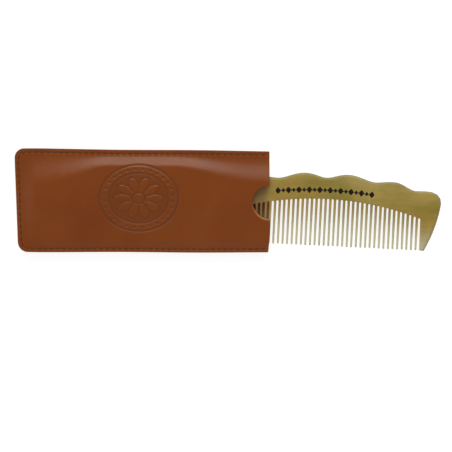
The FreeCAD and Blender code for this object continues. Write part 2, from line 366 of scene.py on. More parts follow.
class Paint:
    """A material under construction, with one Principled shader."""

    def __init__(self, name: str, **constants: Any) -> None:
        """Makes the material and sets what is the same all over it.

        Args:
            name: Name of the material.
            **constants: Values for the shader's sockets, with _ for a space.
        """
        self.material = bpy.data.materials.new(name)
        self.material.use_nodes = True
        self.tree = self.material.node_tree
        self.tree.nodes.clear()
        self.shader = self.tree.nodes.new("ShaderNodeBsdfPrincipled")
        output = self.tree.nodes.new("ShaderNodeOutputMaterial")
        self.tree.links.new(self.shader.outputs["BSDF"], output.inputs["Surface"])
        for key, value in constants.items():
            socket = key.replace("_", " ").title().replace("Ior", "IOR")
            self.shader.inputs[socket].default_value = value

    def add(self, kind: str, settings: dict[str, Any], sockets: dict[Any, Any]) -> Outputs:
        """Adds a node: its settings first, then the values or links of its sockets.

        Args:
            kind: The node's type.
            settings: Properties of the node.
            sockets: A number, colour or signal for each input, by name or number.

        Returns:
            The node's outputs.
        """
        node = self.tree.nodes.new(kind)
        for key, value in settings.items():
            setattr(node, key, value)
        for key, value in sockets.items():
            if isinstance(value, Signal):
                self.tree.links.new(value.socket, node.inputs[key])
            else:
                node.inputs[key].default_value = value
        return Outputs(self, node)

    def into(self, socket: str, value: Signal) -> None:
        """Links a signal to one of the shader's sockets."""
        self.tree.links.new(value.socket, self.shader.inputs[socket])

    def place(self, turn: float = 0.0, scale: Sequence[float] = (1.0, 1.0, 1.0)) -> Signal:
        """The piece's own coordinates, turned about Z and stretched.

        Args:
            turn: Turn about Z, in radians.
            scale: Stretch along X, Y and Z.

        Returns:
            The coordinates.
        """
        own = self.add("ShaderNodeTexCoord", {}, {})["Object"]
        sockets = {"Vector": own, "Rotation": (0.0, 0.0, turn), "Scale": tuple(scale)}
        return self.add("ShaderNodeMapping", {}, sockets)["Vector"]

    def noise(
        self, where: Signal, size: float, detail: float = 3.0, rough: float = 0.5
    ) -> Signal:
        """Soft noise from 0 to 1.

        Args:
            where: Coordinates, in metres.
            size: Size of its blotches, in millimetres.
            detail: Number of finer layers.
            rough: Weight of the finer layers.

        Returns:
            The noise.
        """
        scale = 1 / (size * MM)
        sockets = {"Vector": where, "Scale": scale, "Detail": detail, "Roughness": rough}
        return self.add("ShaderNodeTexNoise", {}, sockets)["Fac"]

    def cells(self, where: Signal, size: float, feature: str) -> Signal:
        """Distance from a cell's middle (F1) or its border (DISTANCE_TO_EDGE).

        Args:
            where: Coordinates, in metres.
            size: Size of a cell, in millimetres.
            feature: The kind of distance.

        Returns:
            The distance, in cells.
        """
        sockets = {"Vector": where, "Scale": 1 / (size * MM)}
        return self.add("ShaderNodeTexVoronoi", {"feature": feature}, sockets)["Distance"]

    def warped(self, where: Signal, size: float, reach: float) -> Signal:
        """Coordinates pushed about by soft noise.

        Args:
            where: Coordinates, in metres.
            size: Size of the noise's blotches, in millimetres.
            reach: Farthest push, in millimetres.

        Returns:
            The pushed coordinates.
        """
        sockets = {"Vector": where, "Scale": 1 / (size * MM), "Detail": 2.0}
        push = self.add("ShaderNodeTexNoise", {}, sockets)["Color"]
        sockets = {0: push, 1: (reach * MM,) * 3, 2: where}
        settings = {"operation": "MULTIPLY_ADD"}
        return self.add("ShaderNodeVectorMath", settings, sockets)["Vector"]

    def mark(self, name: str) -> Signal:
        """One of the skin's own marks."""
        return self.add("ShaderNodeAttribute", {"attribute_name": name}, {})["Fac"]

    def blend(self, a: Any, b: Any, share: Number, how: str = "MIX") -> Signal:
        """Mixes two colours.

        Args:
            a: First colour.
            b: Second colour.
            share: 0 for the first colour, 1 for the second.
            how: The way of mixing.

        Returns:
            The mixed colour.
        """
        settings = {"data_type": "RGBA", "blend_type": how}
        return self.add("ShaderNodeMix", settings, {0: share, 6: a, 7: b})[2]

    def bump(self, height: Signal, depth: float) -> None:
        """Raises the surface by height times depth, in millimetres, in its shading."""
        sockets = {"Strength": 1.0, "Distance": depth * MM, "Height": height}
        self.into("Normal", self.add("ShaderNodeBump", {}, sockets)["Normal"])


def tint(red: float, green: float, blue: float) -> tuple[float, float, float, float]:
    """A colour given as 0 to 255 on a screen, as linear light.

    Args:
        red: Red.
        green: Green.
        blue: Blue.

    Returns:
        Linear red, green, blue and an alpha of 1.
    """
    share = np.array([red, green, blue]) / 255
    linear = np.where(share <= 0.04045, share / 12.92, ((share + 0.055) / 1.055) ** 2.4)
    return (*(float(c) for c in linear), 1.0)


# ------------------------------------------------------------------ finishes

Colour = tuple[float, float, float, float]


@dataclass(frozen=True)
class PolishedHorn:
    """Pale horn: cloudy olive and honey, long faint fibres, a hand-buffed satin gloss."""

    olive: Colour = tint(139, 118, 38)
    honey: Colour = tint(166, 140, 68)
    amber: Colour = tint(160, 126, 46)
    smoke: Colour = tint(172, 164, 124)
    pale: Colour = tint(202, 196, 168)
    # Painted shade: brown for the comb's end inside the sleeve, shaded by the leather and lit by
    # its brown reflected light.
    brown: Colour = tint(116, 80, 50)
    # Painted shade: dark olive laid over the plate's rounded edges, to keep them from reading
    # bright under the lamp.
    rim: Colour = tint(92, 85, 40)
    turn: float = 0.0  # of the comb, about Z, in radians

    def material(self) -> bpy.types.Material:
        """The finished material."""
        paint = Paint(
            "polished_horn",
            ior=1.5,
            subsurface_weight=0.35,
            subsurface_radius=(1.0, 0.75, 0.35),
            subsurface_scale=0.0015,
        )
        cloud_at = paint.place(self.turn, (0.55, 1.0, 1.0))
        fibre_at = paint.place(self.turn, (0.12, 1.0, 1.0))
        cloud = paint.noise(paint.warped(cloud_at, 20.0, 9.0), 11.0, 3.0)
        drift = paint.noise(cloud_at, 26.0, 2.0)
        fibre = paint.noise(paint.warped(fibre_at, 6.0, 1.0), 1.3, 4.0, 0.6)
        colour = paint.blend(self.olive, self.honey, cloud.step(0.32, 0.66))
        colour = paint.blend(colour, self.amber, drift.step(0.48, 0.68) * 0.65)
        colour = paint.blend(colour, self.smoke, (1 - drift).step(0.52, 0.7) * 0.2)
        colour = paint.blend(colour, self.pale, (paint.mark("tipward") ** 1.4) * 0.85)
        # Painted shade and reflected leather colour where the comb sits inside the sleeve.
        colour = paint.blend(colour, self.brown, paint.mark("sleeve_shade") * 0.7)
        edge = paint.mark("edge") ** 0.5
        # Painted shade along the plate's rounded edges.
        colour = paint.blend(colour, self.rim, edge * 0.85)
        shade = (fibre - 0.5) * 0.36 + 1.0
        grey = paint.add("ShaderNodeCombineColor", {}, {0: shade, 1: shade, 2: shade})[0]
        paint.into("Base Color", paint.blend(colour, grey, 1.0, "MULTIPLY"))
        smear = paint.noise(cloud_at, 7.0, 3.0)
        scratch = paint.noise(paint.place(self.turn + 0.5, (1.0, 0.05, 1.0)), 0.35, 2.0)
        rough = smear * 0.16 + 0.34 + scratch.step(0.6, 0.8) * 0.1 + edge * 0.25
        paint.into("Roughness", rough)
        paint.bump(fibre * 0.6 + scratch * 0.4, 0.02)
        return paint.material


@dataclass(frozen=True)
class TannedLeather:
    """Chestnut leather: waxed grain face, pale cut edges, a napped flesh side."""

    chestnut: Colour = tint(124, 57, 1)
    deep: Colour = tint(119, 53, 0)
    worn: Colour = tint(128, 62, 8)
    pressed: Colour = tint(104, 50, 10)
    cut: Colour = tint(178, 118, 72)
    flesh: Colour = tint(206, 140, 92)

    def material(self) -> bpy.types.Material:
        """The finished material."""
        paint = Paint("tanned_leather", ior=1.36)
        at = paint.place()
        flesh = paint.mark("flesh")
        seam = paint.mark("seam")
        pressed = paint.mark("pressed")
        rim = paint.mark("rim")
        mottle = paint.noise(at, 22.0, 3.0)
        speck = paint.noise(at, 1.6, 3.0, 0.6)
        uneven = paint.warped(at, 0.9, 0.7)
        pebbles = paint.cells(uneven, 0.62, "DISTANCE_TO_EDGE").step(0.0, 0.3)
        fine = paint.cells(uneven, 0.3, "DISTANCE_TO_EDGE").step(0.0, 0.34)
        pores = paint.cells(at, 1.3, "F1").step(0.05, 0.13)
        worn = paint.noise(at, 9.0, 2.0).step(0.35, 0.7) * 0.6 + 0.4
        colour = paint.blend(self.deep, self.chestnut, mottle.step(0.3, 0.6))
        colour = paint.blend(colour, self.worn, mottle.step(0.56, 0.8) * 0.7)
        colour = paint.blend(colour, self.deep, speck.step(0.5, 0.8) * 0.4)
        colour = paint.blend(colour, self.pressed, (pressed * 0.75).clamped())
        colour = paint.blend(colour, self.pressed, (seam * 0.08).clamped())
        fibres = paint.noise(at, 0.4, 3.0, 0.7)
        edge = paint.blend(self.cut, self.chestnut, fibres.step(0.4, 0.7) * 0.5)
        # The rim mark brings in the cut's tan and, at the notch's lower left, a painted
        # highlight.
        colour = paint.blend(colour, edge, rim.step(0.45, 0.95) * 0.8)
        nap = paint.blend(self.flesh, self.cut, fibres.step(0.45, 0.75) * 0.35)
        paint.into("Base Color", paint.blend(colour, nap, flesh.step(0.4, 0.6)))
        grain = (pebbles * 0.5 + fine * 0.3 + pores * 0.25) * worn + speck * 0.3
        paint.into("Roughness", mottle * 0.08 + 0.38 + flesh * 0.3 + rim * 0.15 - speck * 0.06)
        relief = grain * (1 - flesh) * (1 - pressed * 0.4) + fibres * (flesh + rim * 0.6)
        paint.bump(relief, 0.04)
        return paint.material


@dataclass(frozen=True)
class WaxedThread:
    """Dark brown sewing thread with a little wax on its plies."""

    brown: Colour = tint(92, 46, 14)
    light: Colour = tint(116, 62, 24)

    def material(self) -> bpy.types.Material:
        """The finished material."""
        paint = Paint("waxed_thread", ior=1.3)
        at = paint.place()
        fuzz = paint.noise(at, 0.16, 3.0, 0.7)
        dye = paint.noise(at, 6.0, 2.0)
        colour = paint.blend(self.brown, self.light, fuzz.step(0.45, 0.75) * 0.5 + dye * 0.2)
        paint.into("Base Color", colour)
        paint.into("Roughness", fuzz * 0.2 + 0.65)
        paint.bump(fuzz, 0.03)
        return paint.material


@dataclass(frozen=True)
class BlackInk:
    """Printed black with the faint thin spots of pad printing."""

    black: Colour = tint(12, 9, 5)
    thin: Colour = tint(44, 36, 20)

    def material(self) -> bpy.types.Material:
        """The finished material."""
        paint = Paint("black_ink", ior=1.3)
        at = paint.place()
        spots = paint.noise(at, 0.3, 3.0, 0.6)
        paint.into("Base Color", paint.blend(self.black, self.thin, spots.step(0.52, 0.75)))
        paint.into("Roughness", spots * 0.3 + 0.35)
        paint.bump(spots, 0.01)
        return paint.material


@dataclass(frozen=True)
class PaleBoard:
    """The matt pale board that the object lies on, lit a little from within."""

    white: Colour = tint(162, 162, 162)
    grey: Colour = tint(158, 158, 158)
    glow: float = 0.8

    def material(self) -> bpy.types.Material:
        """The finished material."""
        paint = Paint("pale_board", roughness=0.9, ior=1.3, emission_strength=self.glow)
        at = paint.place()
        paint.into("Base Color", paint.blend(self.white, self.grey, paint.noise(at, 60.0)))
        return paint.material


# ------------------------------------------------------------------ the comb


@dataclass
class HornComb:
    """One-piece comb. Its own plane has x along the comb, from its middle, y up from the
    tooth tips and z through its thickness, from its mid-plane."""

    back_node: str = "comb_back"
    teeth_node: str = "comb_teeth"
    body: str = "comb"
    joint: str = "comb_slide"
    slot: str = "horn"
    tip_thickness: float = 1.2
    full_thickness_height: float = 26.0
    pitch: float = 2.35
    gap_top_width: float = 1.05
    gap_tip_width: float = 1.3
    root_height: float = 24.2
    root_arch_radius: float = 155.0
    root_reach: float = 50.0  # beyond it, each way, the arch of the roots runs on level
    guard_root_width: float = 10.2
    guard_foot_width: float = 2.7
    guard_bulge: float = 1.1
    shoulder_height: float = 24.7
    shoulder_fullness: float = 0.62
    dips_and_crests: tuple[tuple[float, float], ...] = (
        (0.000, 2.0),
        (0.183, 0.0),
        (0.427, 3.2),
        (0.576, 2.6),
        (0.779, 6.6),
        (0.872, 6.5),
    )
    crest_fullness: float = 1.15
    spine_edge: float = 1.35  # breadth of the spine's rounded edge
    spine_power: float = 2.2  # of the superellipse that rounds it
    tooth_edge_share: float = 0.7  # of a tooth's half width that its rounded edge takes
    tooth_power: float = 3.0
    tip_round: float = 0.6
    guard_spread: float = 0.9  # below 1, a guard's ribs meet its outer edge lower down
    guard_settle: float = 6.0  # height below which a guard's rim turns to the tooth's way
    tooth_lean: float = 0.035  # how far a hand-finished tooth strays sideways
    tooth_stray: float = 0.07  # and in length
    stray_seed: int = 7
    # Painted shade: the end that sits deepest in the sleeve is painted browner, for the
    # leather's shadow over it and the brown light it throws back.
    sleeve_shade_full: float = -32.5
    sleeve_shade_start: float = -28.0
    plate_paleness: float = 0.88  # at the guards' feet
    sawn_paleness: float = 0.75  # on the thin sawn sides of the teeth
    edge_strips: int = 4
    spine_strips: int = 6
    arc_strips: int = 8
    straight_rows: int = 13
    tip_rows: int = 4
    edge_samples: int = 400  # in each curve of the outer edge
    # Shares of the way from the inner edge to the outer one where a rib has a point.
    crossing: tuple[float, ...] = (
        (0.0, 0.04, 0.1, 0.18, 0.27, 0.37) + (0.48, 0.59, 0.7, 0.81, 0.91, 1.0)
    )

    along: np.ndarray = field(init=False)
    across: np.ndarray = field(init=False)
    origin: np.ndarray = field(init=False)
    length: float = field(init=False)
    height: float = field(init=False)
    thickness: float = field(init=False)

    def __post_init__(self) -> None:
        """Reads the comb's place, tilt and overall size from the frame."""
        axis = next(j["axis"] for j in frame["joints"] if j["name"] == self.joint)
        self.along = np.array(axis, float) / np.linalg.norm(axis)
        self.across = np.array([-self.along[1], self.along[0], 0.0])
        found = []
        for node in (self.back_node, self.teeth_node):
            mesh = frame["nodes"][node].data
            flat = np.empty(len(mesh.vertices) * 3, np.float32)
            mesh.vertices.foreach_get("co", flat)
            found.append(flat.reshape(-1, 3).astype(float) / MM)
        points = np.concatenate(found)
        x, y, z = points @ self.along, points @ self.across, points[:, 2]
        self.length = float(np.ptp(x))
        self.height = float(np.ptp(y))
        self.thickness = float(np.ptp(z))
        middle = (x.max() + x.min()) / 2
        up = np.array([0.0, 0.0, (z.max() + z.min()) / 2])
        self.origin = self.along * middle + self.across * y.min() + up

    @property
    def tilt(self) -> float:
        """The comb's turn about Z, in radians."""
        return math.atan2(self.along[1], self.along[0])

    @property
    def gaps(self) -> np.ndarray:
        """The middles of the gaps between the teeth."""
        toothed = self.length / 2 - self.guard_root_width
        count = 2 * int(toothed / self.pitch + 0.5)
        return (np.arange(count) - (count - 1) / 2) * self.pitch

    def placed(self, x: np.ndarray, y: np.ndarray, z: np.ndarray) -> np.ndarray:
        """Points of the comb's own plane, in the row frame.

        Args:
            x: Places along the comb.
            y: Heights above the tips.
            z: Heights above the mid-plane.

        Returns:
            An array with one more axis than x, of length 3.
        """
        x, y, z = (value[..., None] for value in np.broadcast_arrays(x, y, z))
        return self.origin + x * self.along + y * self.across + z * np.array([0.0, 0.0, 1.0])

    def half_thickness(self, y: np.ndarray) -> np.ndarray:
        """Half of the thickness: full at the spine, then an arc of a circle to the tips.

        Args:
            y: Heights above the tips.

        Returns:
            Half of the thickness at each height.
        """
        half, tip = self.thickness / 2, self.tip_thickness / 2
        narrowing, height = half - tip, self.full_thickness_height - tip
        radius = (height**2 + narrowing**2) / (2 * narrowing)
        drop = np.clip(self.full_thickness_height - y, 0.0, height)
        return half - radius + np.sqrt(radius**2 - drop**2)

    def root(self, x: np.ndarray) -> np.ndarray:
        """Height of the tops of the gaps, on an arc of a circle."""
        radius = self.root_arch_radius
        return self.root_height - radius + np.sqrt(radius**2 - x**2)

    def spine(self, x: np.ndarray) -> np.ndarray:
        """Height of the scalloped spine: a smooth step from each dip or crest to the next.

        Args:
            x: Places along the comb.

        Returns:
            The spine's height at each place.
        """
        share = np.abs(x) / (self.length / 2)
        height = np.full(x.shape, self.height - self.dips_and_crests[-1][1])
        for (s0, d0), (s1, d1) in zip(self.dips_and_crests[:-1], self.dips_and_crests[1:]):
            t = np.clip((share - s0) / (s1 - s0), 0.0, 1.0)
            t = t**self.crest_fullness if d0 < d1 else 1 - (1 - t) ** self.crest_fullness
            here = (share >= s0) & (share <= s1)
            height = np.where(here, self.height - d0 - (d1 - d0) * smooth(0.0, 1.0, t), height)
        return height

    def outer_edge(self) -> tuple[np.ndarray, np.ndarray, np.ndarray]:
        """Right half of the outer edge: spine, shoulder curve and bowed end guard.

        The shoulder is a cubic Bezier curve from the last crest to the widest point, and
        the guard's edge is a straight line plus a bulge of 4t(1 - t).

        Returns:
            Places along the edge from the middle of the spine, the points there, and
            their inward normals.
        """
        t = np.linspace(0.0, 1.0, self.edge_samples)[:, None]
        crest_x = self.length / 2 * self.dips_and_crests[-1][0]
        top_x = np.linspace(0.0, crest_x, 3 * self.edge_samples)
        top = np.stack([top_x, self.spine(top_x)], axis=-1)
        crest = top[-1]
        widest = np.array([self.length / 2, self.shoulder_height])
        reach = (widest - crest) * self.shoulder_fullness
        a, b = crest + [reach[0], 0.0], widest - [0.0, reach[1]]
        shoulder = (
            crest * (1 - t) ** 3
            + a * 3 * t * (1 - t) ** 2
            + b * 3 * t**2 * (1 - t)
            + widest * t**3
        )
        foot_x = self.gaps[-1] + self.gap_tip_width / 2 + self.guard_foot_width
        foot = np.array([foot_x, self.tip_round])
        chord = foot - widest
        outward = np.array([-chord[1], chord[0]]) / np.linalg.norm(chord)
        side = widest + chord * t + outward * self.guard_bulge * 4 * t * (1 - t)
        points = np.concatenate([top, shoulder[1:], side[1:]])
        ahead = np.gradient(points, axis=0)
        ahead /= np.linalg.norm(ahead, axis=1, keepdims=True)
        steps = np.linalg.norm(np.diff(points, axis=0), axis=1)
        place = np.concatenate([[0.0], np.cumsum(steps)])
        return place, points, np.stack([ahead[:, 1], -ahead[:, 0]], axis=-1)

    def leg_rows(self) -> tuple[np.ndarray, np.ndarray]:
        """Rows down the side of a tooth, and how much of its section is left at each.

        Over the tip the height is 1 - sin(a) and the section cos(a) of what they were.

        Returns:
            Heights as a share of the way up the leg, above the rounded tip, less one for
            each share of the rounded tip passed; and the shares of section.
        """
        straight = np.linspace(1.0, 0.0, self.straight_rows)
        a = np.linspace(0.0, math.pi / 2, self.tip_rows + 1)[1:]
        return np.append(straight, -np.sin(a)), np.append(np.ones_like(straight), np.cos(a))

    def leg(self, side: int, stray: np.ndarray) -> np.ndarray:
        """The rounded side of every tooth or guard on one side of the gaps.

        The tooth's half width is half the pitch less half the gap, which widens in a
        straight line to the tips. Strips of a superellipse round the edge off.

        Args:
            side: 1 for what stands to the right of each gap, -1 for the left.
            stray: Sideways and lengthways stray of each tooth's tip, as (2, teeth).

        Returns:
            x, y, z and the height share, as (4, gaps, rows, strips + 1).
        """
        inset, rise = rounding(self.edge_strips, self.tooth_power)
        share, left = self.leg_rows()
        gaps = self.gaps[:, None, None]
        spring = self.root(self.gaps)[:, None, None] - self.gap_top_width / 2
        share, left = share[None, :, None], left[None, :, None]
        tip = self.tip_round
        y = tip + share * np.where(share > 0, spring - tip, tip)
        up = np.clip(y / spring, 0.0, 1.0)
        half_gap = (self.gap_tip_width + (self.gap_top_width - self.gap_tip_width) * up) / 2
        half_tooth = self.pitch / 2 - half_gap
        # A guard takes the place of the tooth beyond the first gap and beyond the last.
        count = len(self.gaps)
        tooth = np.arange(count) - (side < 0)
        is_guard = ((tooth < 0) | (tooth > count - 2))[:, None, None]
        lean, longer = stray[:, tooth.clip(0, count - 2)][:, :, None, None] * (1 - up) ** 2
        edge = self.tooth_edge_share * half_tooth
        of_tooth = self.pitch / 2 - half_tooth * left + edge * inset * left + side * lean
        edge_at_root = self.tooth_edge_share * (self.pitch - self.gap_top_width) / 2
        of_guard = half_gap + self.tip_round * (1 - left) + edge_at_root * inset
        x = gaps + side * np.where(is_guard, of_guard, of_tooth)
        y = np.broadcast_to(np.where(is_guard, y, y - longer), x.shape)
        z = self.half_thickness(y) * rise * left
        return np.stack([x, y, z, np.broadcast_to(rise, x.shape)])

    def arches(self) -> np.ndarray:
        """The rounded top of every gap, as strips round a half circle.

        Returns:
            x, y, z and the height share, as (4, gaps, strips round, strips + 1).
        """
        inset, rise = rounding(self.edge_strips, self.tooth_power)
        edge = self.tooth_edge_share * (self.pitch - self.gap_top_width) / 2
        radius = (self.gap_top_width / 2 + edge * inset)[None, None, :]
        a = np.linspace(math.pi, 0.0, self.arc_strips + 1)[None, :, None]
        spring = self.root(self.gaps)[:, None, None] - self.gap_top_width / 2
        x = self.gaps[:, None, None] + radius * np.cos(a)
        y = spring + radius * np.sin(a)
        return np.stack([x, y, self.half_thickness(y) * rise, np.broadcast_to(rise, x.shape)])

    def plate(self, left: np.ndarray, arches: np.ndarray, right: np.ndarray) -> np.ndarray:
        """The spine and both guards, from the arches and guards' inner sides out.

        Each rib runs in a straight line from the inner edge to its partner on the outer
        edge, and then over the rounded outer edge along that edge's normal.

        Args:
            left: Legs to the left of the gaps.
            arches: Tops of the gaps.
            right: Legs to the right of the gaps.

        Returns:
            x, y, z and the height share, as (4, ribs, rows).
        """
        tops = (right[:, :-1, 0, -1] + left[:, 1:, 0, -1])[:, :, None] / 2
        over = np.concatenate([arches[:, :-1, :, -1], tops], axis=2).reshape(4, -1)
        over = np.concatenate([over, arches[:, -1, :, -1]], axis=1)
        inner = np.concatenate([left[:, 0, :0:-1, -1], over, right[:, -1, 1:, -1]], axis=1)
        _, section = self.leg_rows()
        rows = len(section) - 1
        section = np.concatenate([section[:0:-1], np.ones(over.shape[1]), section[1:]])
        # Partners on the outer edge: by x over the teeth, by length down the guards.
        place, edge, normal = self.outer_edge()
        end_of_teeth = float(np.abs(over[0]).max())
        crest_x = self.length / 2 * self.dips_and_crests[-1][0]
        wide = np.abs(over[0]) * crest_x / end_of_teeth
        widest = np.argmax(edge[:, 0])
        reach = np.interp(wide, edge[:widest, 0], place[:widest])
        down, _ = self.leg_rows()
        down = np.clip(down[1:], 0.0, 1.0)
        beside = place[-1] + (reach.max() - place[-1]) * down**self.guard_spread
        reach = np.concatenate([beside[::-1], reach, beside])
        way = np.sign(inner[0]) + (inner[0] == 0)
        outer = np.stack([np.interp(reach, place, edge[:, i]) for i in (0, 1)])
        inward = np.stack([np.interp(reach, place, normal[:, i]) for i in (0, 1)])
        row = np.arange(rows)
        foot = np.concatenate([row[::-1], np.full(over.shape[1], -1), row])
        over_foot = foot >= rows - self.tip_rows
        outer[0] -= np.where(over_foot, self.tip_round * (1 - section), 0.0)
        outer[1] = np.where(over_foot, inner[1], outer[1])
        inward[1] *= np.where(foot >= 0, smooth(0.0, self.guard_settle, inner[1]), 1.0)
        outer[0] *= way
        inward[0] *= way
        inset, rise = rounding(self.spine_strips, self.spine_power)
        shoulder = outer + inward * self.spine_edge
        share = np.array(self.crossing)
        middle = inner[:2, :, None] + (shoulder - inner[:2])[:, :, None] * share
        rim = outer[:, :, None] + (inward * self.spine_edge)[:, :, None] * inset[-2::-1]
        xy = np.concatenate([middle, rim], axis=2)
        rises = np.concatenate([np.ones(len(share)), rise[-2::-1]])
        rises = np.broadcast_to(rises, xy.shape[1:])
        z = self.half_thickness(xy[1]) * rises * section[:, None]
        return np.stack([xy[0], xy[1], z, rises])

    def build(self) -> bpy.types.Object:
        """Builds the comb's skin: strips round every gap, tooth middles and the plate.

        Returns:
            The comb, riding on its body.
        """
        rng = np.random.default_rng(self.stray_seed)
        stray = rng.normal(0.0, 1.0, (2, len(self.gaps) - 1))
        stray *= np.array([[self.tooth_lean], [self.tooth_stray]])
        left, right, arches = self.leg(-1, stray), self.leg(1, stray), self.arches()
        loops = np.concatenate([left[:, :, ::-1], arches, right], axis=2)
        middles = (right[:, :-1, :, -1] + left[:, 1:, :, -1]) / 2
        cores = np.stack([right[:, :-1, :, -1], middles, left[:, 1:, :, -1]], axis=3)
        plate = self.plate(left, arches, right)[:, None]
        skin = Skin("horn_comb", ("tipward", "edge", "sleeve_shade"))
        for part in (loops, cores, plate):
            x, y, z, rise = part
            height = y / self.root(np.clip(x, -self.root_reach, self.root_reach))
            if part is plate:
                tipward = self.plate_paleness * (1 - smooth(0.0, 1.0, height))
            else:
                tipward = 1 - smooth(0.2, 1.1, height)
            if part is loops:
                tipward = np.maximum(tipward, self.sawn_paleness * (1 - rise))
            # Painted shade: how far into the leather's shadow and brown reflected light each
            # point lies.
            sleeve_shade = 1 - smooth(self.sleeve_shade_full, self.sleeve_shade_start, x)
            # The edge mark carries the painted shade on the plate's rounded edges, and their
            # roughness.
            edge = (1 - rise) * (part is plate)
            marks = {"tipward": tipward, "edge": edge, "sleeve_shade": sleeve_shade}
            for way in (1, -1):
                skin.add(self.placed(x, y, z * way), way < 0, **marks)
        comb = skin.make()
        comb.data.materials.append(PolishedHorn(turn=-self.tilt).material())
        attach(comb, self.body)
        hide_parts(self.back_node, self.teeth_node)
        return comb


@dataclass
class PrintedBorder:
    """A row of small printed lozenges and dots on the comb's upper face."""

    comb: HornComb
    middle_height: float = 28.6
    arch_radius: float = 220.0
    half_run: float = 24.0
    shift: float = -0.7  # of the row's middle, from the comb's
    repeats: int = 9
    ink_height: float = 0.035
    sunk: float = 0.06
    outline_points: int = 16
    # Place in a repeat, half width, half height and superellipse power of each mark.
    motif: tuple[tuple[float, float, float, float], ...] = (
        (0.00, 1.3, 1.65, 1.3),
        (0.285, 0.3, 0.3, 2.0),
        (0.50, 0.8, 1.1, 1.3),
        (0.715, 0.3, 0.3, 2.0),
    )

    def build(self) -> bpy.types.Object:
        """Builds the ink as thin closed pads that follow the horn.

        Returns:
            The border, riding with the comb.
        """
        skin = Skin("printed_border")
        step = 2 * self.half_run / self.repeats
        # From the pole underneath, out to the outline, up and in to the pole on top.
        grow = np.array([0.0, 1.0, 1.0, 0.93, 0.0])[None, :, None]
        top = self.ink_height
        lift = np.array([-self.sunk, -self.sunk, 0.6 * top, top, top])
        for place, half_width, half_height, power in self.motif:
            count = self.repeats + (place == 0.0)
            middles = self.shift - self.half_run + step * (np.arange(count) + place)
            outline = superellipse(half_width, half_height, power, self.outline_points)
            turn = -middles / self.arch_radius
            u = outline[None, None, :, 0] * grow
            v = outline[None, None, :, 1] * grow
            cos, sin = np.cos(turn)[:, None, None], np.sin(turn)[:, None, None]
            x = middles[:, None, None] + u * cos - v * sin
            arch = self.middle_height - middles**2 / (2 * self.arch_radius)
            y = arch[:, None, None] + u * sin + v * cos
            z = self.comb.half_thickness(y) + lift[None, :, None]
            skin.add(self.comb.placed(x, y, z))
        border = skin.make()
        border.data.materials.append(BlackInk().material())
        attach(border, self.comb.body)
        return border


# ------------------------------------------------------------------ the sleeve


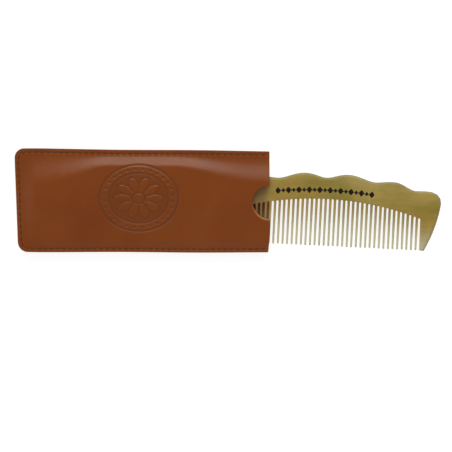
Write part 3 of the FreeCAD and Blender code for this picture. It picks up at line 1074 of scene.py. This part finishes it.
@dataclass
class SleevePlan:
    """The sleeve seen from above. p is the distance from the closed end and q from the
    lower long edge, both measured on a sheet with square corners."""

    front_node: str = "front_panel"
    body: str = "sleeve"
    corner: float = 5.0
    flare: float = 1.1
    skew: float = 2.4
    notch: float = 8.9  # radius of the thumb notch
    notch_drop: float = 0.8  # of its middle, below the sleeve's axis
    notch_fade: float = 26.0
    stitch_inset: float = 1.9
    stitch_pitch: float = 3.2
    first_stitch: float = 1.8
    seam_z: float = 3.5  # of the plane where the two leathers meet
    wander: float = 0.12  # of the long edges, in and out
    wander_waves: float = 1.6  # in the sleeve's length
    # Height of each wave of the mouth's edge, and its middle and width as shares of it.
    mouth_waves: tuple[tuple[float, float, float], ...] = (
        (0.5, 0.24, 0.15),
        (-0.75, 0.0, 0.06),
        (-0.1, 1.0, 0.1),
    )

    length: float = field(init=False)
    closed_height: float = field(init=False)
    mouth_height: float = field(init=False)
    mouth_x: float = field(init=False)
    breadth: float = field(init=False)

    def __post_init__(self) -> None:
        """Reads the sleeve's overall size from the frame."""
        low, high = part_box(self.front_node)
        self.mouth_x = high.x / MM
        self.length = 2 * self.mouth_x
        self.closed_height = (high.y - low.y) / MM
        self.mouth_height = self.closed_height - self.flare
        self.breadth = (self.closed_height + self.mouth_height) / 2

    def laid(self, p: np.ndarray, q: np.ndarray, mouth_wave: float = 0.0) -> np.ndarray:
        """Lays (p, q) out on the four-cornered outline, with its edges' small waves.

        Args:
            p: Distances from the closed end.
            q: Distances from the lower long edge.
            mouth_wave: How strongly the mouth's edge waves, from 0 to 1.

        Returns:
            x and y in the row frame, as an array with one more axis than p.
        """
        s, t = p / self.length, q / self.breadth
        wave = sum(high * bell(t - middle, wide) for high, middle, wide in self.mouth_waves)
        left = -self.mouth_x + self.skew * (0.5 - t)
        x = left + (self.mouth_x + wave * mouth_wave * s**6 - left) * s
        y = (t - 0.5) * (self.closed_height + (self.mouth_height - self.closed_height) * s)
        turn = 2 * math.pi * (s * self.wander_waves + 0.1)
        bow = self.wander * np.sin(turn) * (2 * t - 1)
        return np.stack([x, y + bow * smooth(0.0, 0.1, s)], axis=-1)

    def plane(self, p: np.ndarray, q: np.ndarray, mouth_wave: float) -> np.ndarray:
        """Lays (p, q) out with round corners at the closed end.

        In each closed corner a point's offset from the corner's centre is scaled by its
        larger part over its length, which turns square rings into round ones.

        Args:
            p: Distances from the closed end.
            q: Distances from the lower long edge.
            mouth_wave: How strongly the mouth's edge waves, from 0 to 1.

        Returns:
            x and y in the row frame, as an array with one more axis than p.
        """
        lower = q < self.breadth / 2
        inset_q = np.where(lower, q, self.breadth - q)
        cp = np.clip(self.corner - p, 0.0, None)
        cq = np.clip(self.corner - inset_q, 0.0, None)
        both = (cp > 0) & (cq > 0)
        scale = np.where(both, np.maximum(cp, cq) / np.hypot(cp, cq).clip(1e-9), 1.0)
        p = np.where(both, self.corner - cp * scale, p)
        inset_q = np.where(both, self.corner - cq * scale, inset_q)
        q = np.where(lower, inset_q, self.breadth - inset_q)
        return self.laid(p, q, mouth_wave)

    def notched(
        self, p: np.ndarray, q: np.ndarray, inset: float
    ) -> tuple[np.ndarray, np.ndarray]:
        """Pulls the sheet back round the thumb notch.

        On the mouth's edge, q within the notch's radius becomes an angle, and the point
        goes to that angle on a half ellipse. The pull fades away from the mouth.

        Args:
            p: Distances from the closed end.
            q: Distances from the lower long edge.
            inset: Distance of the outermost points from the cut edge.

        Returns:
            The new p and q.
        """
        half = self.notch + inset
        off = q - self.breadth / 2 + self.notch_drop
        angle = np.clip(off / half, -1.0, 1.0) * math.pi / 2
        pull = (1 - np.clip((self.length - inset - p) / self.notch_fade, 0.0, 1.0)) ** 2.0
        inside = np.abs(off) < half
        p = p - self.notch * np.cos(angle) * pull * inside
        q = q + np.where(inside, (half * np.sin(angle) - off) * pull, 0.0)
        return p, q

    def rings(self, p: np.ndarray, q: np.ndarray) -> np.ndarray:
        """Distance from the nearest sewn edge, following the round corners."""
        return np.minimum(p, np.minimum(q, self.breadth - q))

    @property
    def seam_runs(self) -> tuple[float, float, float, float]:
        """The stitch line's long run, its run across the end, its corners' radius and arc."""
        radius = self.corner - self.stitch_inset
        straight = self.length - self.first_stitch - self.corner
        return straight, self.breadth - 2 * self.corner, radius, radius * math.pi / 2

    @property
    def seam_length(self) -> float:
        """Length of the stitch line, from the mouth round the closed end and back."""
        straight, end, _, arc = self.seam_runs
        return 2 * straight + 2 * arc + end

    @property
    def stitches(self) -> int:
        """Number of stitches."""
        return round(self.seam_length / self.stitch_pitch)

    def seam_place(self, p: np.ndarray, q: np.ndarray) -> np.ndarray:
        """Distance along the stitch line, from its lower end at the mouth.

        Args:
            p: Distances from the closed end.
            q: Distances from the lower long edge.

        Returns:
            The place along the seam that each point is nearest.
        """
        straight, end, radius, arc = self.seam_runs
        near_end = np.clip(self.corner - p, 1e-9, None)
        near_low = np.clip(self.corner - q, 1e-9, None)
        near_high = np.clip(q - self.breadth + self.corner, 0, None)
        low = radius * np.arctan2(near_end, near_low)
        high = radius * np.arctan2(near_high, near_end)
        below = self.length - self.first_stitch - p
        above = straight + 2 * arc + end + (p - self.corner)
        beside = straight + arc + (q - self.corner)
        lower = q < self.breadth / 2
        at_end = (p < self.corner) & (np.abs(q - self.breadth / 2) <= end / 2)
        at_end |= (p >= self.corner) & (p < q) & (p < self.breadth - q)
        in_low = (p < self.corner) & (q < self.corner)
        in_high = (p < self.corner) & (q > self.breadth - self.corner)
        place = np.where(lower, below, above)
        place = np.where(at_end, beside, place)
        place = np.where(in_low, straight + low, place)
        return np.where(in_high, straight + arc + end + high, place)

    def seam_point(self, place: np.ndarray) -> np.ndarray:
        """The points of the stitch line at these distances along it.

        Args:
            place: Distances along the seam.

        Returns:
            An array of (places, 2), in the row frame.
        """
        straight, end, radius, arc = self.seam_runs
        a = np.clip((place - straight) / radius, 0.0, math.pi / 2)
        b = np.clip((place - straight - arc - end) / radius, 0.0, math.pi / 2)
        down = np.clip(place, 0.0, straight)
        climb = np.clip(place - straight - arc, 0.0, end)
        back = np.clip(place - straight - 2 * arc - end, 0.0, None)
        p = self.corner + straight - down - radius * np.sin(a) + radius * (1 - np.cos(b)) + back
        q = self.stitch_inset + radius * (1 - np.cos(a)) + climb + radius * np.sin(b)
        return self.laid(p, q)


@dataclass
class Medallion:
    """A plain oval rosette pressed into the front: two rings, beads and a flower."""

    x: float = -2.0
    y: float = 1.4
    half_width: float = 20.5
    half_height: float = 17.2
    line: float = 0.5  # half breadth of a pressed line
    depth: float = 0.34
    ground: float = 0.5  # depth of the ground round the flower, as a share
    petals: int = 10
    beads: int = 28
    # Shares of the oval where each ring, the petals' valleys and their tips are.
    border: float = 0.98
    bead_ring: float = 0.86
    inner_ring: float = 0.74
    petal_tip: float = 0.64
    valley: float = 0.30
    eye: float = 0.16

    def pressed(self, x: np.ndarray, y: np.ndarray) -> np.ndarray:
        """How deeply each point is pressed, from 0 to 1.

        With r the distance from the middle in shares of the oval, a ring is where r is
        near a fixed share, a petal line where r is near a share that waves with the
        angle, and a bead where both r and the angle are near one of its middles.

        Args:
            x: Places along the sleeve.
            y: Places across it.

        Returns:
            The share of the full depth.
        """
        u, v = (x - self.x) / self.half_width, (y - self.y) / self.half_height
        r, angle = np.hypot(u, v), np.arctan2(v, u)
        unit = (self.half_width + self.half_height) / 2

        def beside_spoke(count: int, ring: Union[float, np.ndarray]) -> np.ndarray:
            """Distance, round a ring, from the nearest of so many spokes."""
            turn = (angle * count / (2 * math.pi)) % 1.0 - 0.5
            return turn * 2 * math.pi * ring / count

        wave = np.abs(np.cos(self.petals * angle / 2)) ** 0.7
        petal = self.valley + (self.petal_tip - self.valley) * wave
        lines = [np.abs(r - ring) * unit for ring in (self.border, self.inner_ring, self.eye)]
        lines.append(np.abs(r - petal) * unit * 0.8)
        deep = sum(1 - smooth(self.line * 0.6, self.line * 1.7, d) for d in lines)
        bead = np.hypot(beside_spoke(self.beads, self.bead_ring), r - self.bead_ring) * unit
        deep = deep + 1 - smooth(0.45, 0.95, bead)
        ground = smooth(0.0, 0.05, r - petal) * (1 - smooth(0.68, self.inner_ring, r))
        deep = np.maximum(deep, self.ground * ground)
        vein = np.abs(beside_spoke(self.petals, r)) * unit
        vein = 1 - smooth(self.line * 0.5, self.line * 1.4, vein)
        deep = deep + vein * smooth(0.2, 0.24, r) * (1 - smooth(0.46, 0.52, r))
        return np.clip(deep, 0.0, 1.0)


@dataclass
class LeatherPanel:
    """One leather of the sleeve, drawn out over the comb and sewn down at its edges."""

    plan: SleevePlan
    face: Face
    node: str
    medallion: Optional[Medallion] = None
    slot: str = "leather"
    thickness: float = 1.28
    rim: float = 0.34  # breadth of the rounded cut edge
    rim_strips: int = 6
    coarse: float = 0.62  # spacing of the grid's lines where the leather is plain
    fine: float = 0.38  # and where it is pressed
    foot: float = 2.5  # where the walls leave the flat rim of the sleeve
    lower_foot: float = 2.1
    end_wall: float = 7.8  # breadth of the wall at the closed end
    lower_wall: float = 4.4  # and along the lower seam, as high as the teeth's tips
    lower_slope: float = 32.0  # breadth of the gentle slope from there to the spine
    tip_share: float = 0.36  # height of the lower wall, as a share of the whole
    upper_wall: float = 6.4  # and along the middle of the upper seam, by the spine
    end_slack: float = 9.0  # how much broader the upper wall is near the closed end
    end_ease: tuple[float, float] = (14.0, 50.0)  # from the end, where that wears off
    mouth_slack: float = 7.0  # and at the mouth
    mouth_ease: tuple[float, float] = (80.0, 122.0)  # and where that sets in
    mouth_foot: float = 0.8  # how much farther in the upper wall's foot is there
    crown: float = 0.3  # height of the front's crown at the closed end
    crown_growth: float = 0.8  # and how much higher it is at the mouth
    uneven: float = 0.06  # of the front
    sag: float = 0.12  # of the back, at most
    bed_depth: float = 0.12
    bed_width: float = 0.5
    swell: float = 0.05  # of the leather beside a stitch's middle
    hole_depth: float = 0.24
    splay: float = 1.1  # of the thumb notch's cut edge
    splay_fade: float = 1.3
    splay_way: tuple[float, float] = (-0.62, -0.78)  # lower left

    outer_z: float = field(init=False)

    def __post_init__(self) -> None:
        """Reads the height of the panel's outer face from the frame."""
        low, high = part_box(self.node)
        self.outer_z = (high.z if self.face is Face.FRONT else low.z) / MM

    def lines(self) -> tuple[np.ndarray, np.ndarray]:
        """Grid lines along and across the sheet, close at its seams and its ornament.

        Returns:
            The lines' p and the lines' q.
        """
        rim, length, breadth = self.rim, self.plan.length, self.plan.breadth

        def patch(middle: float, half: float) -> list[tuple[float, float]]:
            """Stations that draw the lines together for the ornament, and half a mm beyond."""
            low, high = middle - half - 0.5, middle + half + 0.5
            close = [(low, self.fine), (high, self.fine)]
            return [(low - 1, self.coarse), *close, (high + 1, self.coarse)]

        lengthways = crossways = []
        if self.medallion:
            oval = self.medallion
            lengthways = patch(oval.x + self.plan.mouth_x, oval.half_width)
            crossways = patch(breadth / 2 + oval.y, oval.half_height)
        sewn = [(rim, 0.3), (1.1, 0.26), (2.8, 0.26), (4.2, self.coarse)]
        mouth = [(length - 12, self.coarse), (length - 3, 0.4), (length - rim, 0.3)]
        far = [(breadth - place, spacing) for place, spacing in reversed(sewn)]
        along = graded(rim, length - rim, sewn + lengthways + mouth)
        return along, graded(rim, breadth - rim, sewn + crossways + far)

    def rise(self, p: np.ndarray, q: np.ndarray) -> np.ndarray:
        """Height of the drawn leather above its sewn rim, from 0 to 1.

        With t from 0 at a wall's foot to 1 at its top, each wall is the smooth step
        3t^2 - 2t^3. The lower one is a low wall and then a long slope, because the comb
        is thin at its teeth's tips. The height is the product of the three.

        Args:
            p: Distances from the closed end.
            q: Distances from the lower long edge.

        Returns:
            The share of full height.
        """
        by_end, by_mouth = 1 - smooth(*self.end_ease, p), smooth(*self.mouth_ease, p)
        upper = self.upper_wall + self.end_slack * by_end + self.mouth_slack * by_mouth
        foot = self.foot + self.mouth_foot * by_mouth
        from_upper = smooth(0.0, 1.0, (self.plan.breadth - q - foot) / upper)
        from_end = smooth(0.0, 1.0, (p - self.foot) / self.end_wall)
        run = q - self.lower_foot
        from_lower = self.tip_share * smooth(0.0, self.lower_wall, run)
        from_lower = from_lower + (1 - self.tip_share) * smooth(0.0, self.lower_slope, run)
        return from_upper * from_end * from_lower

    def surface(
        self, p: np.ndarray, q: np.ndarray, detail: bool
    ) -> tuple[np.ndarray, np.ndarray]:
        """The panel's outer face.

        Its height is the rim's, plus the drawn wall, a crown that grows towards the
        mouth and a slight unevenness. Detail takes off the stitch beds and holes, adds
        the small swell of leather between them, and takes off the pressed ornament.

        Args:
            p: Distances from the closed end.
            q: Distances from the lower long edge.
            detail: Whether to work the seam and the ornament in.

        Returns:
            The points, with one more axis than p, and how deeply each is pressed.
        """
        plan, way = self.plan, self.face.value
        front = self.face is Face.FRONT
        ring = plan.rings(p, q)
        place = plan.seam_place(p, q)
        if front:
            p, q = plan.notched(p, q, self.rim)
        xy = plan.plane(p, q, 1.0 if front else 0.35)
        x, y = xy[..., 0], xy[..., 1]
        rim_z = plan.seam_z + way * self.thickness
        share = self.rise(p, q)
        lift = abs(self.outer_z - rim_z) * share
        if front:
            towards_mouth = np.clip(p / plan.length, 0.0, 1.0)
            bulge = 1 - (2 * q / plan.breadth - 1) ** 2
            lift = lift + share * bulge * (self.crown + self.crown_growth * towards_mouth**2)
            lift = lift + self.uneven * ripple(x, y, 21.0, 3) * share
        else:
            lift = lift - share * self.sag * (1 + ripple(x, y, 23.0, 5)) * 0.5
        pressed = np.zeros_like(p)
        if detail:
            off = ring - plan.stitch_inset
            pitch = plan.seam_length / plan.stitches
            along = ((place / pitch + 0.5) % 1.0 - 0.5) * pitch
            beat = np.cos(2 * math.pi * along / pitch)  # 1 at a hole, -1 at a stitch's middle
            lift = lift - self.bed_depth * bell(off, self.bed_width) * (0.75 + 0.25 * beat)
            lift = lift - self.hole_depth * bell(np.hypot(off, along), self.bed_width)
            lift = lift - self.swell * bell(np.abs(off) - 1.0, 0.45) * beat
            if self.medallion:
                pressed = self.medallion.pressed(x, y)
                lift = lift - self.medallion.depth * pressed
        return np.stack([x, y, rim_z + way * lift], axis=-1), pressed

    def splayed(self, inner: np.ndarray) -> tuple[np.ndarray, np.ndarray]:
        """Splays the cut edge of the thumb notch, where thumbs have pressed it open.

        The inner face is carried towards the notch's middle, most strongly to its lower
        left, by an amount that falls off by 1/e each time the distance from the notch
        grows by the fade.

        Args:
            inner: The inner face.

        Returns:
            The inner face and the share of the splay at each of its points.
        """
        off = inner[..., :2] - np.array([self.plan.mouth_x, -self.plan.notch_drop])
        reach = np.linalg.norm(off, axis=-1, keepdims=True).clip(1e-6)
        facing = (off / reach) @ np.array(self.splay_way)
        beyond = np.clip(reach[..., 0] - self.plan.notch, 0, None)
        share = facing.clip(0.0) ** 0.8 * np.exp(-beyond / self.splay_fade)
        moved = inner.copy()
        moved[..., :2] -= off / reach * self.splay * share[..., None]
        return moved, share

    def build(self) -> bpy.types.Object:
        """Builds the panel: outer face, inner face a leather's thickness in, and rim.

        Returns:
            The panel, riding on the sleeve.
        """
        lines_p, lines_q = self.lines()
        p, q = np.meshgrid(lines_p, lines_q, indexing="ij")
        outer, pressed = self.surface(p, q, detail=True)
        plain, _ = self.surface(p, q, detail=False)
        along, across = np.gradient(plain, axis=0), np.gradient(plain, axis=1)
        normal = np.cross(along, across)
        normal /= np.linalg.norm(normal, axis=-1, keepdims=True)
        inner = plain - normal * self.thickness * self.face.value
        opened_and_lit = np.zeros(p.shape)
        if self.face is Face.FRONT:
            inner, opened_and_lit = self.splayed(inner)
        ring = self.plan.rings(p, q)
        seam = bell(ring - self.plan.stitch_inset, 0.55) * 0.7
        seam = seam + 0.35 * (1 - smooth(1.4, 2.6, ring))

        def outline(grid: np.ndarray) -> np.ndarray:
            """The grid's border as one closed line."""
            sides = [grid[:-1, 0], grid[-1, :-1], grid[:0:-1, -1], grid[0, ::-1]]
            return np.concatenate(sides)

        strip = edge_strip(outline(outer), outline(inner), self.rim, self.rim_strips)
        down = np.linspace(0.0, 1.0, self.rim_strips + 1)[None, :]
        # The cut shows palest half way down the rim, and where the notch is splayed open, most
        # at its lower left: partly the cut's own tan, partly a painted highlight on the side of
        # the notch that faces the lamp.
        cut = np.sin(math.pi * down) * (0.45 + 0.55 * outline(opened_and_lit)[:, None])
        flesh = down > 0.9
        skin = Skin(self.node.replace("panel", "leather"), ("rim", "flesh", "seam", "pressed"))
        skin.add(outer, seam=seam, pressed=pressed)
        skin.add(inner, flip=True, flesh=1.0)
        skin.add(strip, rim=cut, flesh=np.broadcast_to(flesh, strip.shape[:2]))
        panel = skin.make()
        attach(panel, self.plan.body)
        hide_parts(self.node)
        return panel


@dataclass
class SeamThread:
    """One of the two threads of the lockstitch: a row of twisted stitches."""

    plan: SleevePlan
    face: Face
    node: str
    slot: str = "thread"
    radius: float = 0.25
    bar_z: float = 1.22  # of the stitch's top, from the seam's plane
    leg_end: float = 0.05
    hole_share: float = 0.29  # of a leg, from its hole's middle
    power: float = 3.4
    samples: int = 13
    around: int = 9
    plies: int = 3
    ply_depth: float = 0.2  # as a share of the radius
    twist: float = 8.0
    stray: float = 0.05
    stray_seed: int = 11

    def build(self) -> bpy.types.Object:
        """Builds the stitches.

        A stitch's middle line is half a superellipse standing on its two holes, and its
        section is a circle with one low swell for each ply, which turns along the line.

        Returns:
            The thread, riding on the sleeve.
        """
        plan, way = self.plan, self.face.value
        holes = plan.seam_point(np.linspace(0.0, plan.seam_length, plan.stitches + 1))
        rng = np.random.default_rng(self.stray_seed + way)
        chord = holes[1:] - holes[:-1]
        span = np.linalg.norm(chord, axis=1)
        ahead = np.concatenate([chord / span[:, None], np.zeros((len(chord), 1))], axis=1)
        side = np.stack([-ahead[:, 1], ahead[:, 0], np.zeros(len(ahead))], axis=-1)
        middle = (holes[1:] + holes[:-1]) / 2
        middle = np.concatenate([middle, np.full((len(middle), 1), plan.seam_z)], axis=1)
        middle += side * rng.normal(0.0, self.stray, (len(middle), 1))
        half = span / 2 - self.hole_share
        a = np.linspace(0.0, math.pi, self.samples)
        c, s = np.cos(a), np.sin(a).clip(0.0)
        run = -np.sign(c) * np.abs(c) ** (2 / self.power)
        lift = self.leg_end + (self.bar_z - self.leg_end) * s ** (2 / self.power)
        path = (
            middle[:, None]
            + ahead[:, None] * (half[:, None] * run)[..., None]
            + np.array([0.0, 0.0, way]) * lift[None, :, None]
        )
        tangent = np.gradient(path, axis=1)
        tangent /= np.linalg.norm(tangent, axis=-1, keepdims=True)
        normal = np.cross(tangent, side[:, None])
        phi = np.linspace(0.0, 2 * math.pi, self.around + 1)
        phi[-1] = 0.0
        turn = self.twist * np.linspace(0.0, 1.0, self.samples)[:, None]
        radius = self.radius * (1 + self.ply_depth * np.cos(self.plies * phi[None] + turn))
        ring = (
            side[:, None, None] * (radius * np.cos(phi))[None, :, :, None]
            + normal[:, :, None] * (radius * np.sin(phi))[None, :, :, None]
        )
        tube = path[:, :, None] + ring
        ends = [np.repeat(path[:, [i], None], self.around + 1, axis=2) for i in (0, -1)]
        skin = Skin(self.node.replace("thread", "stitching"))
        skin.add(np.concatenate([ends[0], tube, ends[1]], axis=1))
        thread = skin.make()
        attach(thread, plan.body)
        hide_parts(self.node)
        return thread


# ------------------------------------------------------------------ the studio


@dataclass
class Softbox:
    """A large rectangular lamp that points at the object."""

    name: str
    at: tuple[float, float, float]
    size: tuple[float, float]
    watts: float
    colour: tuple[float, float, float] = (1.0, 1.0, 1.0)
    aim: tuple[float, float, float] = (0.04, 0.0, 0.0)

    def build(self) -> bpy.types.Object:
        """Builds the lamp."""
        data = bpy.data.lights.new(self.name, "AREA")
        data.shape = "RECTANGLE"
        data.size, data.size_y = self.size
        data.energy = self.watts
        data.color = self.colour
        lamp = bpy.data.objects.new(self.name, data)
        lamp.location = self.at
        ahead = Vector(self.aim) - Vector(self.at)
        lamp.rotation_euler = ahead.to_track_quat("-Z", "Y").to_euler()
        bpy.context.scene.collection.objects.link(lamp)
        return lamp


@dataclass
class Studio:
    """Pale board, soft lamps and a camera straight above."""

    plan: SleevePlan
    view_width: float = 231.9  # millimetres across the view, on the board
    view_left: float = 22.06  # of the view's middle, from the mouth
    view_below: float = 12.5  # of the view's middle, from the sleeve's axis
    view_turn: float = 0.4  # degrees, of the sleeve in the view, clockwise
    camera_height: float = 1500.0
    sensor: float = 36.0
    sky: float = 0.38
    board_half: float = 3.0
    board_gap: float = 0.05  # under the sleeve, so that the two don't share a plane

    def build(self) -> None:
        """Builds the stage, the lamps and the camera."""
        scene = bpy.context.scene
        scene.view_settings.view_transform = "Standard"
        self.build_board()
        self.build_sky()
        for lamp in (
            Softbox("key_lamp", (0.05, 1.35, 0.85), (1.6, 0.7), 21.9, (0.9, 1.0, 0.97)),
            Softbox("left_lamp", (-1.25, -0.1, 0.8), (1.2, 1.2), 2.5),
            Softbox("right_lamp", (1.35, -0.1, 0.8), (1.2, 1.2), 2.0),
            Softbox("near_lamp", (0.05, -1.2, 0.8), (1.8, 1.2), 5.0, (1.0, 0.94, 0.86)),
        ):
            lamp.build()
        data = bpy.data.cameras.new("camera")
        data.sensor_width = self.sensor
        data.lens = self.sensor * self.camera_height / self.view_width
        data.clip_start, data.clip_end = 0.01, 20.0
        camera = bpy.data.objects.new("camera", data)
        x = (self.plan.mouth_x - self.view_left) * MM
        camera.location = (x, -self.view_below * MM, self.camera_height * MM)
        camera.rotation_euler = (0.0, 0.0, math.radians(self.view_turn))
        scene.collection.objects.link(camera)
        scene.camera = camera

    def build_board(self) -> None:
        """Builds the board: a flat square, its middle at the origin."""
        half = self.board_half / MM
        line = np.linspace(-half, half, 3)
        x, y = np.meshgrid(line, line, indexing="ij")
        skin = Skin("board")
        skin.add(np.stack([x, y, np.full_like(x, -self.board_gap)], axis=-1))
        board = skin.make()
        if board.data.polygons[0].normal.z < 0:
            board.data.flip_normals()
        board.data.materials.append(PaleBoard().material())

    def build_sky(self) -> None:
        """Fills the room with even white light."""
        world = bpy.data.worlds.new("room")
        world.use_nodes = True
        background = world.node_tree.nodes["Background"]
        background.inputs["Color"].default_value = (1.0, 1.0, 1.0, 1.0)
        background.inputs["Strength"].default_value = self.sky
        bpy.context.scene.world = world


# ------------------------------------------------------------------ assembly


def main() -> None:
    logging.basicConfig(level=logging.INFO, format="%(name)s %(message)s")
    comb = HornComb()
    LOG.info("comb %.1f x %.1f x %.1f mm", comb.length, comb.height, comb.thickness)
    comb.build()
    PrintedBorder(comb).build()
    plan = SleevePlan()
    leather = TannedLeather().material()
    front = LeatherPanel(plan, Face.FRONT, "front_panel", Medallion()).build()
    back = LeatherPanel(
        plan, Face.BACK, "back_panel", end_wall=7.2, end_slack=0.0, mouth_slack=0.0
    ).build()
    for panel in (front, back):
        panel.data.materials.append(leather)
    waxed = WaxedThread().material()
    threads = {}
    for face, node in ((Face.FRONT, "needle_thread"), (Face.BACK, "bobbin_thread")):
        threads[face] = SeamThread(plan, face, node).build()
        threads[face].data.materials.append(waxed)
    flat = (plan.breadth * MM, plan.length * MM)
    area = flat[0] * flat[1] - math.pi * (plan.notch * MM) ** 2 / 2
    Studio(plan).build()


if __name__ == "__main__":
    main()
